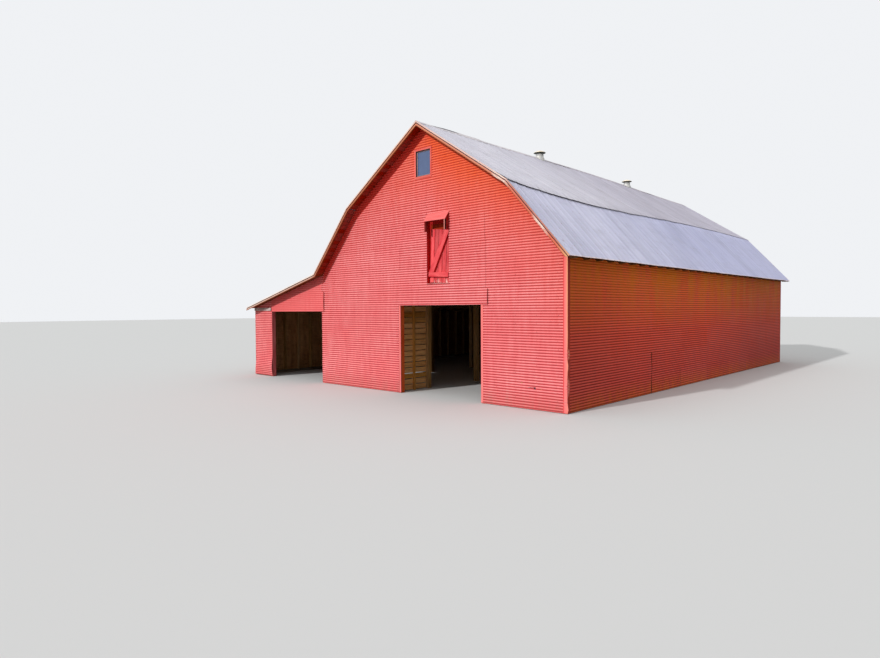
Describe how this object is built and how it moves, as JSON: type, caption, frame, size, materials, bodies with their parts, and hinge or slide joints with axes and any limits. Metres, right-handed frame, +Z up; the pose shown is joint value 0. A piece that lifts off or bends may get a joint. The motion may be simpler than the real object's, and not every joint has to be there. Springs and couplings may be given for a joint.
{
  "type": "gambrel barn with lean-to",
  "caption": "Timber-framed barn with a gambrel roof, a hay loft and hay door over an open aisle, and a lean-to along one side, clad in corrugated sheet.",
  "frame": {"origin": "on the ground under the middle of the whole building's box, roof overhangs included", "axes": "+X right along the front, +Y from the front wall to the back along the ridge, +Z up"},
  "size_m": [14.025, 19.004, 7.984],
  "materials": {
    "red_sheet": "weathered red paint on corrugated steel sheet",
    "galvanised_roof": "dull galvanised sheet",
    "ventilator_metal": "dull galvanised sheet, lightly rusted",
    "rake_timber": "weathered boards with faded paint",
    "frame_timber": "rough sawn, aged",
    "sill_timber": "rough sawn, weathered",
    "red_timber": "weathered red paint on boards",
    "window_glass": "old clear glass"
  },
  "bodies": {
    "root": {"front_wall_left": "red_sheet", "front_wall_right": "red_sheet", "front_gable": "red_sheet", "door_header_sheet": "red_sheet", "lean_to_front_wall": "red_sheet", "lean_to_header_sheet": "red_sheet", "right_side_wall": "red_sheet", "back_wall": "red_sheet", "lean_to_side_wall": "red_sheet", "lean_to_back_wall": "red_sheet", "edge_flashings": "red_sheet", "roof_upper_right": "galvanised_roof", "roof_upper_left": "galvanised_roof", "roof_lower_right": "galvanised_roof", "roof_lower_left": "galvanised_roof", "lean_to_roof": "galvanised_roof", "ridge_flashing": "galvanised_roof", "roof_boards": "frame_timber", "ridge_board": "frame_timber", "rafters_right": "frame_timber", "rafters_left": "frame_timber", "lean_to_rafters": "frame_timber", "wall_plates": "frame_timber", "front_studs": "frame_timber", "right_side_studs": "frame_timber", "back_studs": "frame_timber", "lean_to_studs": "frame_timber", "left_line_posts": "frame_timber", "loft_floor": "frame_timber", "loft_joists": "frame_timber", "loft_beams": "frame_timber", "loft_posts": "frame_timber", "aisle_wall": "frame_timber", "ridge_ventilators": "ventilator_metal", "rake_boards": "rake_timber", "lean_to_band": "rake_timber", "ground_sills": "sill_timber", "main_door_frame": "red_timber", "lean_to_door_frame": "red_timber", "hay_door_frame": "red_timber", "hay_door_boards": "red_timber", "hay_door_braces": "red_timber", "hay_hood": "red_timber", "window_frame": "red_timber", "window_glass": "window_glass"}
  },
  "joints": []
}
